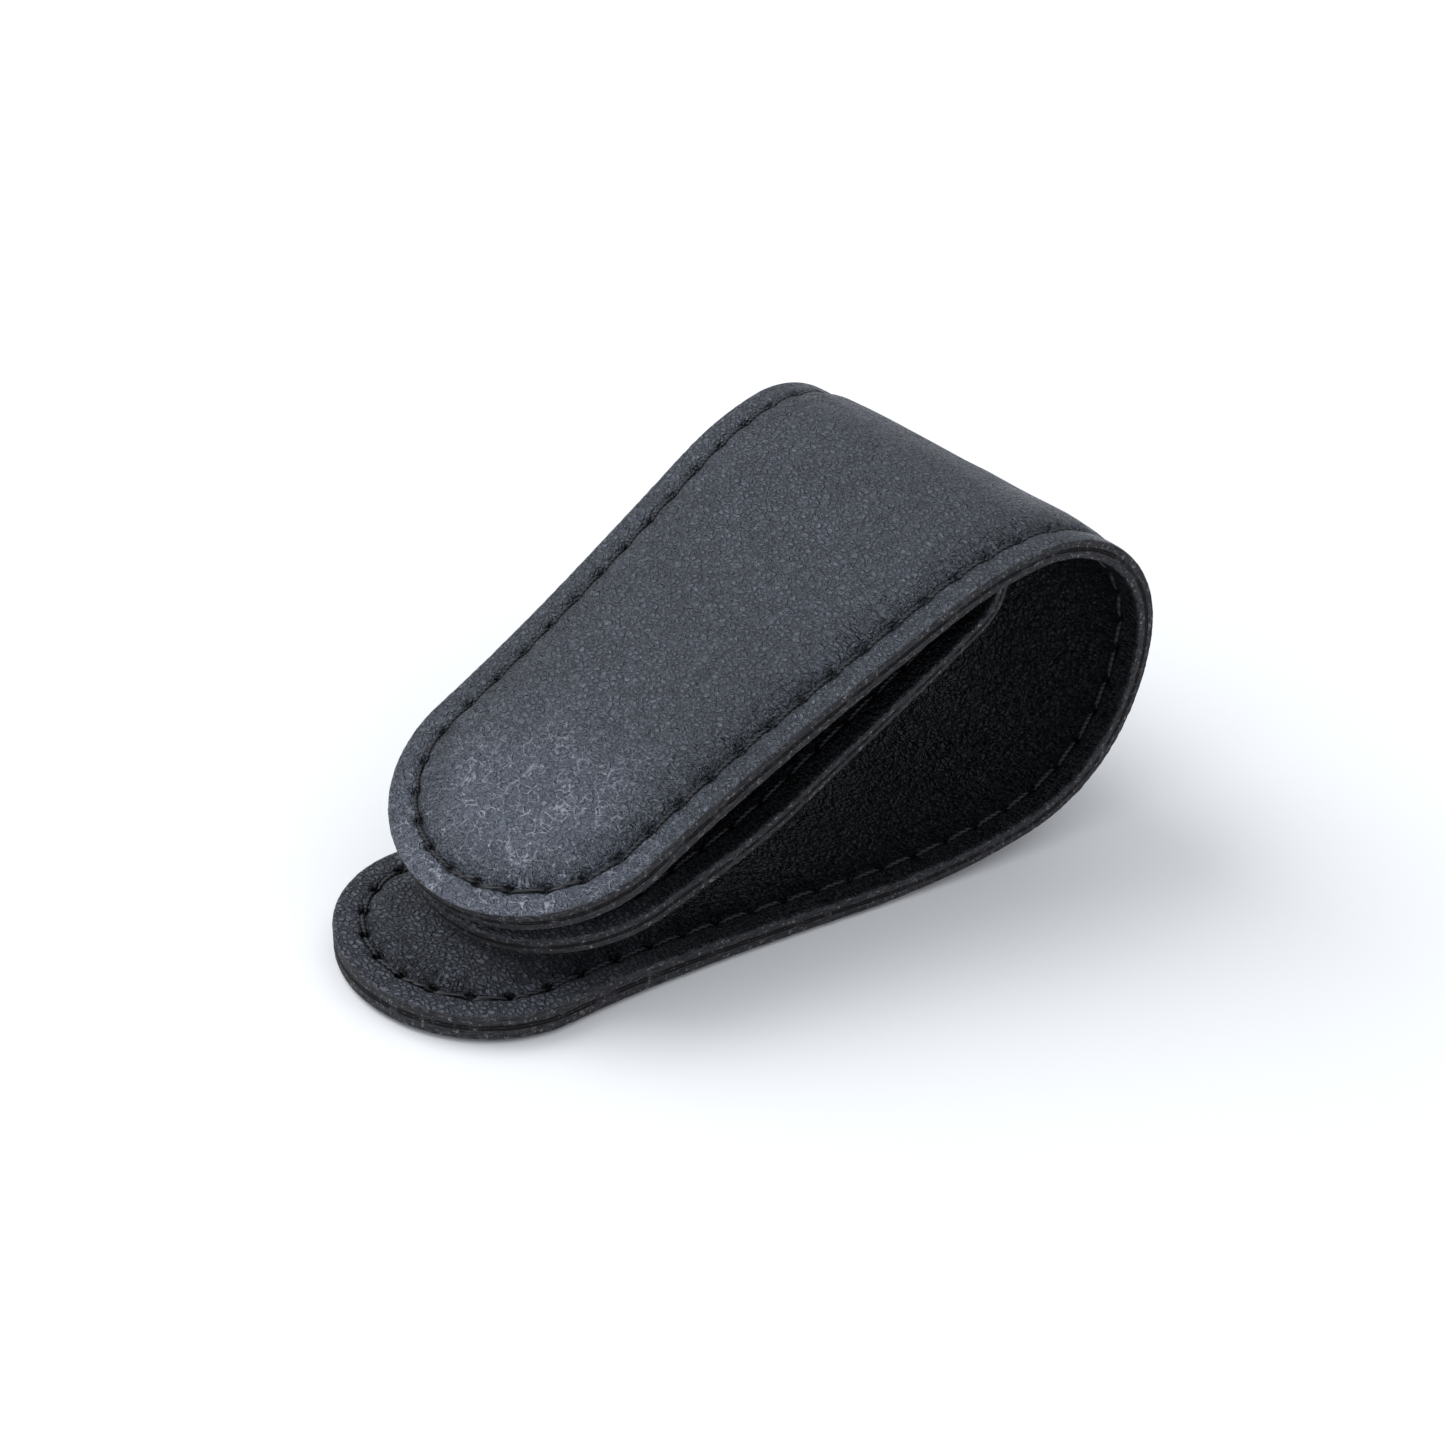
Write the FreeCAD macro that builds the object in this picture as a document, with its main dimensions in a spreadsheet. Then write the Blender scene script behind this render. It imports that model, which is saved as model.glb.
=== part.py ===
"""Folded leather money clip with magnetic tips, as an assembly of named pieces.

One tapered strap of two skins is folded into a loop. Its lower leaf lies on the table, its
upper leaf comes back down over it, and a third leaf, the tongue, hangs below the upper leaf
from a slit in its lining. Foam pads fill the skins inside the stitching, and each tip holds a disc magnet.
Frame: +Z up, +X from the tips to the loop, origin under the middle of the clip's box.
"""
import FreeCAD, Part
import math
import os
import re
import Sketcher
from FreeCAD import Placement, Rotation, Vector

doc = FreeCAD.newDocument("money_clip")
sheet = doc.addObject("Spreadsheet::Sheet", "dims")

DIMENSIONS = {
    # strap section, measured inwards from the outer face at the rim
    "skin": 1.1, "swell": 0.4, "skin_over_pad": 1.0, "pad_gap": 0.1, "thread_proud": 0.3,
    "stock_width": 60.0, "stock_lead": 1.0,
    # inset of each line from the cut edge
    "stitch_out": 2.7, "stitch_in": 3.2, "swell_inset": 3.7, "pad_inset": 4.8,
    # lower leaf
    "lower_run": 45.1, "lower_bend": 85.8, "lower_turn": 13.6,
    "lower_tip": 15.1, "lower_flare": 430.0, "lower_slope": 4.1,
    # loop
    "low_bend": 19.7, "low_turn": 74.2, "high_bend": 13.7, "high_turn": 99.9,
    "loop_begin": 58.0, "loop_length": 26.0, "loop_half_begin": 20.5, "loop_half_end": 22.8,
    # upper leaf
    "upper_run": 51.9, "upper_bend": 34.2, "upper_turn": 17.9,
    "upper_tip": 17.0, "upper_flare": 550.0, "upper_slope": 2.69,
    # tongue
    "tongue_run": 20.0, "tongue_bend": 37.5, "tongue_turn": 17.5, "tongue_rise": 23.5,
    "tongue_root_bend": 6.0, "tongue_root_turn": 30.0,
    "tongue_skin": 0.85, "tongue_swell": 0.25, "tongue_over_pad": 0.8,
    "tongue_tip": 16.4, "tongue_flare": 550.0, "tongue_slope": 4.5,
    "tongue_x": 9.7, "tongue_z": 4.9, "tongue_tilt": 16.0, "tongue_pad_end": 44.0,
    "tab": 0.6, "tab_begin": 45.0, "tab_end": 58.5, "tab_inset": 1.0, "tab_play": 0.05,
    # magnets
    "magnet_radius": 6.0, "magnet_play": 0.15, "magnet_at": 17.0,
}
for row, (alias, number) in enumerate(DIMENSIONS.items(), start=1):
    sheet.set("A%d" % row, alias)
    sheet.set("B%d" % row, str(number))
    sheet.setAlias("B%d" % row, alias)
doc.recompute()


def value(expression):
    """Number that an expression of sheet names stands for."""
    return float(sheet.evalExpression(str(expression)))


def bound(expression):
    """The same expression, as an object outside the sheet writes it."""
    return re.sub(r"\b(?!sin\b|cos\b)([a-z_]+)\b", r"dims.\1", str(expression))


def limit(sketch, name, expression, kind, *where):
    """Add a driving constraint to the sketch and bind it to the sheet."""
    number = value(expression)
    if kind == "Angle":
        number = math.radians(number)
    index = sketch.addConstraint(Sketcher.Constraint(kind, *where, number))
    sketch.renameConstraint(index, name)
    text = bound(expression)
    if kind == "Angle":
        text = "(%s) * 1 deg" % text
    sketch.setExpression("Constraints." + name, text)


def new_sketch(name, role):
    """Body with an empty sketch on one of its origin planes."""
    body = doc.addObject("PartDesign::Body", name)
    sketch = body.newObject("Sketcher::SketchObject", name + "_sketch")
    plane = [f for f in body.Origin.OriginFeatures if f.Role == role][0]
    sketch.AttachmentSupport = (plane, [""])
    sketch.MapMode = "FlatFace"
    return body, sketch


def pad_body(body, sketch, name, length):
    """Pad the sketch evenly to both sides of its plane."""
    pad = body.newObject("PartDesign::Pad", name + "_pad")
    pad.Profile = sketch
    pad.SideType = "Symmetric"
    pad.setExpression("Length", bound(length))
    sketch.Visibility = False
    return pad


PATHS = {
    "lower": [("line", "lower_run"), ("arc", "lower_bend", "lower_turn")],
    "loop": [("arc", "low_bend", "low_turn"), ("arc", "high_bend", "high_turn")],
    "upper": [("line", "upper_run"), ("arc", "upper_bend", "upper_turn")],
    "tongue": [("line", "tongue_run"), ("arc", "tongue_bend", "tongue_turn"),
               ("line", "tongue_rise"), ("arc", "tongue_root_bend", "tongue_root_turn")],
}


def walk(path, depth=0.0):
    """Points and headings (degrees) along a path, at a depth inwards from its outer face."""
    x, z, turn = 0.0, 0.0, 0.0
    stops = []
    for step in path + [None]:
        angle = math.radians(turn)
        stops.append((x - depth * math.sin(angle), z + depth * math.cos(angle), turn))
        if step is None:
            return stops
        if step[0] == "line":
            x += value(step[1]) * math.cos(angle)
            z += value(step[1]) * math.sin(angle)
            continue
        radius = value(step[1])
        turn += value(step[2])
        after = math.radians(turn)
        x += radius * (math.sin(after) - math.sin(angle))
        z += radius * (math.cos(angle) - math.cos(after))


def chain(sketch, path, depth):
    """Lines and arcs of one offset of the path, begin to end; returns their indices."""
    stops = walk(path, depth)
    indices = []
    for step, (x, z, turn), (x2, z2, turn2) in zip(path, stops, stops[1:]):
        if step[0] == "line":
            lead = value("stock_lead") if not indices else 0.0
            edge = Part.LineSegment(Vector(x - lead, z, 0), Vector(x2, z2, 0))
        else:
            radius = value(step[1]) - depth
            start = math.radians(turn - 90)
            centre = Vector(x - radius * math.cos(start), z - radius * math.sin(start), 0)
            circle = Part.Circle(centre, Vector(0, 0, 1), radius)
            edge = Part.ArcOfCircle(circle, start, math.radians(turn2 - 90))
        indices.append(sketch.addGeometry(edge, False))
    return indices


def strip(name, path_name, low, high):
    """Wide stock that follows a path, between two depths from the outer face."""
    path = PATHS[path_name]
    body, sketch = new_sketch(name + "_strip", "XZ_Plane")
    outer = chain(sketch, path, value(low))
    inner = chain(sketch, path, value(high))
    first, last = walk(path, value(low)), walk(path, value(high))
    rule = Sketcher.Constraint
    lead = value("stock_lead") if path[0][0] == "line" else 0.0
    head = sketch.addGeometry(Part.LineSegment(
        Vector(first[0][0] - lead, first[0][1], 0), Vector(last[0][0] - lead, last[0][1], 0)))
    sketch.addConstraint(rule("Coincident", head, 1, outer[0], 1))
    sketch.addConstraint(rule("Coincident", head, 2, inner[0], 1))
    if lead:
        sketch.addConstraint(rule("Horizontal", outer[0]))
        sketch.addConstraint(rule("Horizontal", inner[0]))
        sketch.addConstraint(rule("Vertical", head))
        limit(sketch, "lead", "-stock_lead", "DistanceX", outer[0], 1)
        limit(sketch, "run", path[0][1], "DistanceX", outer[0], 2)
    else:
        sketch.addConstraint(rule("PointOnObject", outer[0], 1, -2))
        sketch.addConstraint(rule("PointOnObject", outer[0], 3, -2))
        sketch.addConstraint(rule("PointOnObject", inner[0], 1, -2))
        limit(sketch, "bend_0", "%s - (%s)" % (path[0][1], low), "Radius", outer[0])
    limit(sketch, "low", low, "DistanceY", outer[0], 1)
    limit(sketch, "high", high, "DistanceY", inner[0], 1)
    turned = []
    for k, step in enumerate(path):
        if step[0] == "arc":
            turned.append(step[2])
            sketch.addConstraint(rule("Coincident", inner[k], 3, outer[k], 3))
        if k > 0:
            sketch.addConstraint(rule("Tangent", outer[k - 1], 2, outer[k], 1))
            same = path[k - 1][0] == step[0]
            tie = "Coincident" if same else "Tangent"
            sketch.addConstraint(rule(tie, inner[k - 1], 2, inner[k], 1))
            if step[0] == "arc":
                limit(sketch, "bend_%d" % k, "%s - (%s)" % (step[1], low), "Radius", outer[k])
            else:
                limit(sketch, "length_%d" % k, step[1], "Distance", outer[k])
        if step[0] == "line" and k + 1 < len(path):
            continue
        near, far = first[k + 1], last[k + 1]
        cross = sketch.addGeometry(Part.LineSegment(
            Vector(near[0], near[1], 0), Vector(far[0], far[1], 0)), k + 1 < len(path))
        sketch.addConstraint(rule("Perpendicular", cross, 1, outer[k], 2))
        sketch.addConstraint(rule("Coincident", cross, 2, inner[k], 2))
        if step[0] == "arc":
            limit(sketch, "turn_%d" % k, "90 + " + " + ".join(turned), "Angle", cross)
    pad_body(body, sketch, name, "stock_width")
    return body


def leaf_outline(name, leaf, inset, end):
    """Upright block with a leaf's round tip and flared sides, inset from the cut edge.

    The sides flare along the flat run and go on straight over the bent stretch.
    """
    body, sketch = new_sketch(name + "_outline", "XY_Plane")
    tip, flare, slope, run = [leaf + word for word in ("_tip", "_flare", "_slope", "_run")]
    radius, side, angle = value(tip), value(flare), math.radians(value(slope))
    step = value(inset)
    straight = value(end) > value(run)
    flare_end = run if straight else end
    centre_x = radius - (radius + side) * math.sin(angle)
    centre_y = (radius + side) * math.cos(angle)
    reach = math.asin((value(flare_end) - centre_x) / (side + step))
    half = centre_y - (side + step) * math.cos(reach)
    far = half + (value(end) - value(flare_end)) * math.tan(reach)
    normal = Vector(0, 0, 1)
    quarter = math.pi / 2
    rule = Sketcher.Constraint
    round_tip = sketch.addGeometry(Part.ArcOfCircle(
        Part.Circle(Vector(radius, 0, 0), normal, radius - step),
        quarter + angle, 3 * quarter - angle))
    sketch.addConstraint(rule("PointOnObject", round_tip, 3, -1))
    limit(sketch, "tip_centre", tip, "DistanceX", round_tip, 3)
    limit(sketch, "tip_radius", "%s - (%s)" % (tip, inset), "Radius", round_tip)
    flare_centre = "%s - (%s + %s) * sin(%s)" % (tip, tip, flare, slope)
    # arcs run anticlockwise, so the left one starts at the tip and the right one ends there
    sides = (("left", 1, 1, 1, 2, angle - quarter, reach - quarter),
             ("right", -1, 2, 2, 1, quarter - reach, quarter - angle))
    corners = []
    for label, hand, tip_point, near, away, begin, finish in sides:
        arc = sketch.addGeometry(Part.ArcOfCircle(
            Part.Circle(Vector(centre_x, hand * centre_y, 0), normal, side + step),
            begin, finish))
        sketch.addConstraint(rule("Tangent", round_tip, tip_point, arc, near))
        limit(sketch, label + "_centre", flare_centre, "DistanceX", arc, 3)
        limit(sketch, label + "_radius", "%s + (%s)" % (flare, inset), "Radius", arc)
        corners.append((arc, away))
        if straight:
            limit(sketch, label + "_run", run, "DistanceX", arc, away)
            edge = sketch.addGeometry(Part.LineSegment(
                Vector(value(run), hand * half, 0), Vector(value(end), hand * far, 0)))
            sketch.addConstraint(rule("Tangent", arc, away, edge, 1))
            corners[-1] = (edge, 2)
    close = sketch.addGeometry(Part.LineSegment(
        Vector(value(end), far, 0), Vector(value(end), -far, 0)))
    sketch.addConstraint(rule("Coincident", close, 1, *corners[0]))
    sketch.addConstraint(rule("Coincident", close, 2, *corners[1]))
    sketch.addConstraint(rule("Vertical", close))
    limit(sketch, "end", end, "DistanceX", close, 1)
    pad_body(body, sketch, name, "2 * stock_width")
    return body


def loop_outline(name, inset):
    """Upright block as wide as the loop, seen from above, inset from the cut edge."""
    body, sketch = new_sketch(name + "_outline", "XY_Plane")
    begin, reach = value("loop_begin"), value("loop_begin + loop_length")
    half = value("loop_half_begin") - value(inset)
    far = value("loop_half_end") - value(inset)
    corners = [(begin, -half), (reach, -far), (reach, far), (begin, half)]
    rule = Sketcher.Constraint
    lines = []
    for (x, y), (x2, y2) in zip(corners, corners[1:] + corners[:1]):
        lines.append(sketch.addGeometry(Part.LineSegment(Vector(x, y, 0), Vector(x2, y2, 0))))
    for this, after in zip(lines, lines[1:] + lines[:1]):
        sketch.addConstraint(rule("Coincident", this, 2, after, 1))
    sketch.addConstraint(rule("Symmetric", lines[1], 1, lines[1], 2, -1))
    sketch.addConstraint(rule("Symmetric", lines[3], 1, lines[3], 2, -1))
    limit(sketch, "begin", "loop_begin", "DistanceX", lines[3], 1)
    limit(sketch, "reach", "loop_begin + loop_length", "DistanceX", lines[1], 1)
    limit(sketch, "half_begin", "loop_half_begin - (%s)" % inset, "DistanceY", lines[3], 1)
    limit(sketch, "half_end", "loop_half_end - (%s)" % inset, "DistanceY", lines[1], 2)
    pad_body(body, sketch, name, "2 * stock_width")
    return body


def combine(kind, name, parts):
    """Part boolean of two or more objects."""
    if kind == "Cut":
        result = doc.addObject("Part::Cut", name)
        result.Base, result.Tool = parts
    elif kind == "Common":
        result = doc.addObject("Part::MultiCommon", name)
        result.Shapes = parts
    else:
        result = doc.addObject("Part::MultiFuse", name)
        result.Shapes = parts
        result.Refine = True
    return result


FULL = {"lower": "lower_run + lower_bend * sin(lower_turn) + 5",
        "upper": "upper_run + upper_bend * sin(upper_turn) + 5",
        "tongue": "tongue_run + tongue_bend * sin(tongue_turn) + tongue_rise + 5"}
# the strap is laid out from the lower tip, so the loop's own frame starts at the lower leaf
lower_end = walk(PATHS["lower"])[-1]
loop_place = Placement(Vector(lower_end[0], 0, lower_end[1]),
                       Rotation(Vector(0, 1, 0), -lower_end[2]))


def layer(name, path_name, low, high, inset, end=None):
    """Part of a leaf between two depths, inset from the cut edge, up to an end."""
    stock = strip(name, path_name, low, high)
    if path_name == "loop":
        stock.Placement = loop_place
        block = loop_outline(name, inset)
    else:
        block = leaf_outline(name, path_name, inset, end or FULL[path_name])
    return combine("Common", name + "_layer", [stock, block])


def seam(name, path_name, low, high, end=None):
    """Row of stitching: a flat cord that follows the cut edge at an even inset."""
    stock = layer(name + "_field", path_name, low, high, "stitch_out", end)
    inside = None if end is None else end + " + 1"
    if path_name == "loop":
        core = loop_outline(name + "_core", "stitch_in")
    else:
        core = leaf_outline(name + "_core", path_name, "stitch_in", inside or FULL[path_name])
    return combine("Cut", name, [stock, core])


def skin(name, path_name, low, high, proud_low, proud_high, hollow_low, hollow_high, end=None):
    """Leather skin with its padded area swollen outwards and hollow for the pad."""
    rim = layer(name + "_rim", path_name, low, high, "0 * skin")
    swollen = layer(name + "_swell", path_name, proud_low, proud_high, "swell_inset", end)
    whole = combine("Fuse", name + "_whole", [rim, swollen])
    stop = None if end is None else end + " - swell_inset + stitch_out"
    hollow = layer(name + "_hollow", path_name, hollow_low, hollow_high,
                   "pad_inset - pad_gap", stop)
    return combine("Cut", name, [whole, hollow])


def drum(name, radius, low, high, at):
    """Upright round piece between two depths."""
    piece = doc.addObject("Part::Cylinder", name)
    piece.setExpression("Radius", bound(radius))
    piece.setExpression("Height", bound("%s - (%s)" % (high, low)))
    piece.Placement.Base = Vector(value(at), 0, value(low))
    return piece


parts = {}
THICK = "2 * skin"
CAVITY_LOW = "skin_over_pad - swell"
CAVITY_HIGH = "2 * skin + swell - skin_over_pad"
LINING_END = {"lower": "lower_run + 12", "upper": "tab_begin - 1"}

# ---- lower and upper leaves: two skins, a foam pad and a magnet each, stitched round
for leaf in ("lower", "upper"):
    end = LINING_END[leaf]
    parts[leaf + "_outer_cover"] = skin(
        leaf + "_outer_cover", leaf, "0 * skin", "skin", "-swell", "0.5 * skin", CAVITY_LOW, "skin")
    parts[leaf + "_lining"] = skin(
        leaf + "_lining_skin", leaf, "skin", THICK, "1.5 * skin", THICK + " + swell",
        "skin", CAVITY_HIGH, end)
    pad_end = end + " - swell_inset + stitch_out - pad_gap"
    foam = combine("Fuse", leaf + "_foam", [
        layer(leaf + "_foam_outer", leaf, CAVITY_LOW, "skin", "pad_inset"),
        layer(leaf + "_foam_inner", leaf, "skin", CAVITY_HIGH, "pad_inset", pad_end)])
    seat = drum(leaf + "_magnet_seat", "magnet_radius + magnet_play",
                CAVITY_LOW + " - 1", CAVITY_HIGH + " + 1", "magnet_at")
    parts[leaf + "_pad"] = combine("Cut", leaf + "_pad", [foam, seat])
    parts[leaf + "_magnet"] = drum(leaf + "_magnet", "magnet_radius",
                                   CAVITY_LOW, CAVITY_HIGH, "magnet_at")
    parts[leaf + "_outer_stitching"] = seam(
        leaf + "_outer_stitching", leaf, "-thread_proud", "0 * skin")
    parts[leaf + "_inner_stitching"] = seam(
        leaf + "_inner_stitching", leaf, THICK, THICK + " + thread_proud")

# ---- loop: the same strap carried round between the leaves, padded on the outside only
parts["loop_outer_cover"] = skin(
    "loop_outer_cover", "loop", "0 * skin", "skin", "-swell", "0.5 * skin", CAVITY_LOW, "skin")
parts["loop_lining"] = layer("loop_lining", "loop", "skin", THICK, "0 * skin")
parts["loop_pad"] = layer("loop_pad", "loop", CAVITY_LOW, "skin", "pad_inset")
parts["loop_outer_stitching"] = seam(
    "loop_outer_stitching", "loop", "-thread_proud", "0 * skin")
parts["loop_inner_stitching"] = seam(
    "loop_inner_stitching", "loop", THICK, THICK + " + thread_proud")

# ---- tongue: two thinner skins over a pad and a magnet, its root rolled into a bead
TONGUE = "2 * tongue_skin"
T_LOW = "tongue_over_pad - tongue_swell"
T_HIGH = "2 * tongue_skin + tongue_swell - tongue_over_pad"
PAD_END = "tongue_pad_end"
bottom_whole = combine("Fuse", "tongue_bottom_whole", [
    layer("tongue_bottom_rim", "tongue", "0 * skin", "tongue_skin", "0 * skin"),
    layer("tongue_bottom_swell", "tongue", "-tongue_swell", "0.5 * tongue_skin",
          "swell_inset", PAD_END)])
parts["tongue_bottom_cover"] = combine("Cut", "tongue_bottom_cover", [
    bottom_whole, layer("tongue_bottom_hollow", "tongue", T_LOW, "tongue_skin",
                        "pad_inset - pad_gap", PAD_END + " - 1")])
top_whole = combine("Fuse", "tongue_top_whole", [
    layer("tongue_top_rim", "tongue", "tongue_skin", TONGUE, "0 * skin"),
    layer("tongue_top_swell", "tongue", "1.5 * tongue_skin", TONGUE + " + tongue_swell",
          "swell_inset", PAD_END)])
parts["tongue_top_cover"] = combine("Cut", "tongue_top_cover", [
    top_whole, layer("tongue_top_hollow", "tongue", "tongue_skin", T_HIGH,
                     "pad_inset - pad_gap", PAD_END + " - 1")])
foam = layer("tongue_foam", "tongue", T_LOW, T_HIGH, "pad_inset", PAD_END + " - 1.1")
seat = drum("tongue_magnet_seat", "magnet_radius + magnet_play",
            T_LOW + " - 1", T_HIGH + " + 1", "magnet_at - 4")
parts["tongue_pad"] = combine("Cut", "tongue_pad", [foam, seat])
parts["tongue_magnet"] = drum("tongue_magnet", "magnet_radius", T_LOW, T_HIGH,
                              "magnet_at - 4")
parts["tongue_top_stitching"] = seam(
    "tongue_top_stitching", "tongue", TONGUE, TONGUE + " + thread_proud * 2 / 3")
parts["tongue_bottom_stitching"] = seam(
    "tongue_bottom_stitching", "tongue", "-thread_proud * 2 / 3", "0 * skin")

# ---- root tab: the tongue's end, let into the upper lining behind the slit and glued there
def tab_block(name, room):
    """Flat stretch between the skins of the upper leaf, with room round it."""
    field = layer(name + "_field", "upper", "skin", "skin + tab + %s" % room,
                  "tab_inset - %s" % room, "tab_end + %s" % room)
    rest = leaf_outline(name + "_rest", "upper", "0 * skin", "tab_begin - %s" % room)
    return combine("Cut", name, [field, rest])


parts["tongue_root_tab"] = tab_block("tongue_root_tab", "0 * skin")
parts["upper_lining"] = combine("Cut", "upper_lining_with_slit", [
    parts["upper_lining"], tab_block("tab_space", "tab_play")])

# ---- where each piece stands
half_length = 0.5 * (lower_end[0]
                     + value("low_bend * (sin(lower_turn + low_turn) - sin(lower_turn))")
                     + value("high_bend * (1 - sin(lower_turn + low_turn)) + swell"))
ground = value("swell")
shift = Vector(-half_length, 0, ground)
loop_end = walk(PATHS["loop"])[-1]
upper_root = loop_place.multVec(Vector(loop_end[0], 0, loop_end[1])) + shift
heading = value("lower_turn + low_turn + high_turn + upper_turn")
incline = math.radians(heading - 180)
upper_turned = Rotation(Vector(math.cos(incline), 0, math.sin(incline)), Vector(0, -1, 0),
                        Vector(math.sin(incline), 0, -math.cos(incline)), "ZXY")
upper_end = walk(PATHS["upper"])[-1]
upper_place = Placement(upper_root - upper_turned.multVec(Vector(upper_end[0], 0, upper_end[1])),
                        upper_turned)
tongue_place = Placement(Vector(value("tongue_x") - half_length, 0, value("tongue_z")),
                         Rotation(Vector(0, 1, 0), -value("tongue_tilt")))
lower_place = Placement(shift, Rotation())
PLACES = {"lower": lower_place, "loop": Placement(shift, Rotation()), "upper": upper_place,
          "tongue": tongue_place}

doc.recompute()
for name, piece in parts.items():
    piece.Label = name
    key = "upper" if name == "tongue_root_tab" else name.split("_")[0]
    piece.Placement = PLACES[key].multiply(piece.Placement)
doc.recompute()

# ---- checks, then one file a piece
for thing in doc.Objects:
    if "Invalid" in thing.State or "Error" in thing.State:
        raise SystemExit("failed: %s %s" % (thing.Label, thing.State))
box = FreeCAD.BoundBox()
for name, piece in parts.items():
    shape = piece.Shape
    if shape.isNull() or not shape.isValid() or not shape.Solids:
        raise SystemExit("bad shape: " + name)
    box.add(shape.BoundBox)
    print("%-26s solids %d volume %8.1f" % (name, len(shape.Solids), shape.Volume))
print("box x %.2f..%.2f y %.2f..%.2f z %.2f..%.2f" % (
    box.XMin, box.XMax, box.YMin, box.YMax, box.ZMin, box.ZMax))

os.makedirs("parts", exist_ok=True)
for name, piece in parts.items():
    piece.Shape.exportStep("parts/%s.step" % name)
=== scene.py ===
import bmesh
import bpy
import math
from mathutils import Matrix, Vector, noise


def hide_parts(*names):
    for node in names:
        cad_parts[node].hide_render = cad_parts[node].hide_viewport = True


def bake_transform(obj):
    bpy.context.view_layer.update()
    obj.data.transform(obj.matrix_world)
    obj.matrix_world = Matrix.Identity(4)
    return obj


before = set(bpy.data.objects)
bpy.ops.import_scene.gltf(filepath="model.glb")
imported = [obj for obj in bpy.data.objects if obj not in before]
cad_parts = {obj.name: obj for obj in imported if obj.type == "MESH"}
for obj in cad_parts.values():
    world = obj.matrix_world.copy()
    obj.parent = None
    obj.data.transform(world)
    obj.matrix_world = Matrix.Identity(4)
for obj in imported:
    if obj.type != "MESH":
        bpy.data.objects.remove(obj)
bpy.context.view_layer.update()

# ---- leather strap ----------------------------------------------------------------------
# One tapered strap of black calf leather, folded into a loop so that its two round ends lie
# one over the other. It is an outer cover and a lining, glued rim to rim and sewn round, with
# foam between them that swells both inside the seam. It is made here in two halves that meet
# in the middle of the loop.
MM = 0.001
GROUND = 0.4                    # how far the padding lifts the rim off the table
BACK = 40.369                   # from the lower tip to the middle of the clip
# straights (length, 0) and bends (radius, degrees), from the lower tip to the upper one
STRAP_RUNS = [(45.1, 0.0), (85.8, 13.6), (19.7, 74.2), (13.7, 99.9), (34.2, 17.9), (51.9, 0.0)]
STRAP_LENGTH = 177.45
LOOP_MIDDLE = 90.2              # where the two halves meet, from the lower tip
LOOP_HALF = 22.5                # half the strap's width in the loop
SKIN = 1.1                      # thickness of one skin of leather
SEAM = 2.95                     # stitch line, in from the cut edge
STITCH = 3.8                    # from one needle hole to the next
THINNED_BY = 62                 # reach from the tip where a leaf has its loop thickness
ASIDE_TO, ASIDE_FADE = 68, 19   # a leaf cut off centre is so up to here, and then less
SWELL_TO, SWELL_FADE = 32, 45   # padding as full as at the tip up to here, and then less


def along(runs, reach, x=0.0, z=0.0, tilt=0.0):
    """Point and heading (radians) that far along straight runs and bends."""
    heading = math.radians(tilt)
    for radius, turn in runs:
        angle = math.radians(turn)
        length = radius * angle if turn else radius
        step = min(reach, length)
        if turn:
            after = heading + step / radius
            x += radius * (math.sin(after) - math.sin(heading))
            z += radius * (math.cos(heading) - math.cos(after))
            heading = after
        else:
            x += step * math.cos(heading)
            z += step * math.sin(heading)
        reach -= step
        if reach <= 0:
            break
    return x + reach * math.cos(heading), z + reach * math.sin(heading), heading


def smooth(value):
    """From 0 to 1, easing in and out."""
    value = min(max(value, 0.0), 1.0)
    return value * value * (3 - 2 * value)


def lower_spot(reach):
    return along(STRAP_RUNS, reach)


def upper_spot(reach):
    return along(STRAP_RUNS, STRAP_LENGTH - reach)


# a leaf: its round tip, the sides that flare out from it, how far it is cut off centre, its
# thickness at the tip and at its far end, and the line it lies on
LOWER = {"tip": 13.4, "half": 15.1, "wide": LOOP_HALF, "flare": 80.0, "length": LOOP_MIDDLE,
         "aside": 0.0, "thick": (2.9, 2.05), "spot": lower_spot}
UPPER = {"tip": 15.1, "half": 17.2, "wide": LOOP_HALF, "flare": 84.0,
         "length": STRAP_LENGTH - LOOP_MIDDLE, "aside": 0.22, "thick": (2.45, 2.05),
         "spot": upper_spot}


def half_width(leaf, reach):
    """Half a leaf's width, that far from its tip."""
    grow = smooth((reach - leaf["tip"]) / (leaf["flare"] - leaf["tip"]))
    return leaf["half"] + (leaf["wide"] - leaf["half"]) * grow


def thickness(leaf, reach):
    """Both skins together, that far from the tip."""
    at_tip, at_end = leaf["thick"]
    return at_end + (at_tip - at_end) * (1 - smooth(reach / THINNED_BY))


def tip_run(leaf):
    """Length of the cut edge round the tip."""
    return math.pi * math.sqrt((leaf["tip"] ** 2 + leaf["half"] ** 2) / 2)


def edge_run(leaf):
    """Length of the cut edge from one far corner, round the tip, to the other."""
    return 2 * (leaf["length"] - leaf["tip"]) + tip_run(leaf)


def flat_spot(leaf, travel, inset):
    """Reach from the tip and place across, a travel along the cut edge and an inset in."""
    side = leaf["length"] - leaf["tip"]
    bend = tip_run(leaf)
    if travel < side:
        reach = leaf["length"] - travel
        return reach, max(half_width(leaf, reach) - inset, 0.0)
    if travel > side + bend:
        reach = leaf["tip"] + travel - side - bend
        return reach, -max(half_width(leaf, reach) - inset, 0.0)
    turn = math.pi * (travel - side) / bend
    inset = min(inset, leaf["half"])
    squeeze = 1 - (1 - leaf["tip"] / leaf["half"]) * inset / leaf["half"]
    span = leaf["tip"] - inset * squeeze
    return leaf["tip"] - span * math.sin(turn), (leaf["half"] - inset) * math.cos(turn)


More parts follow.
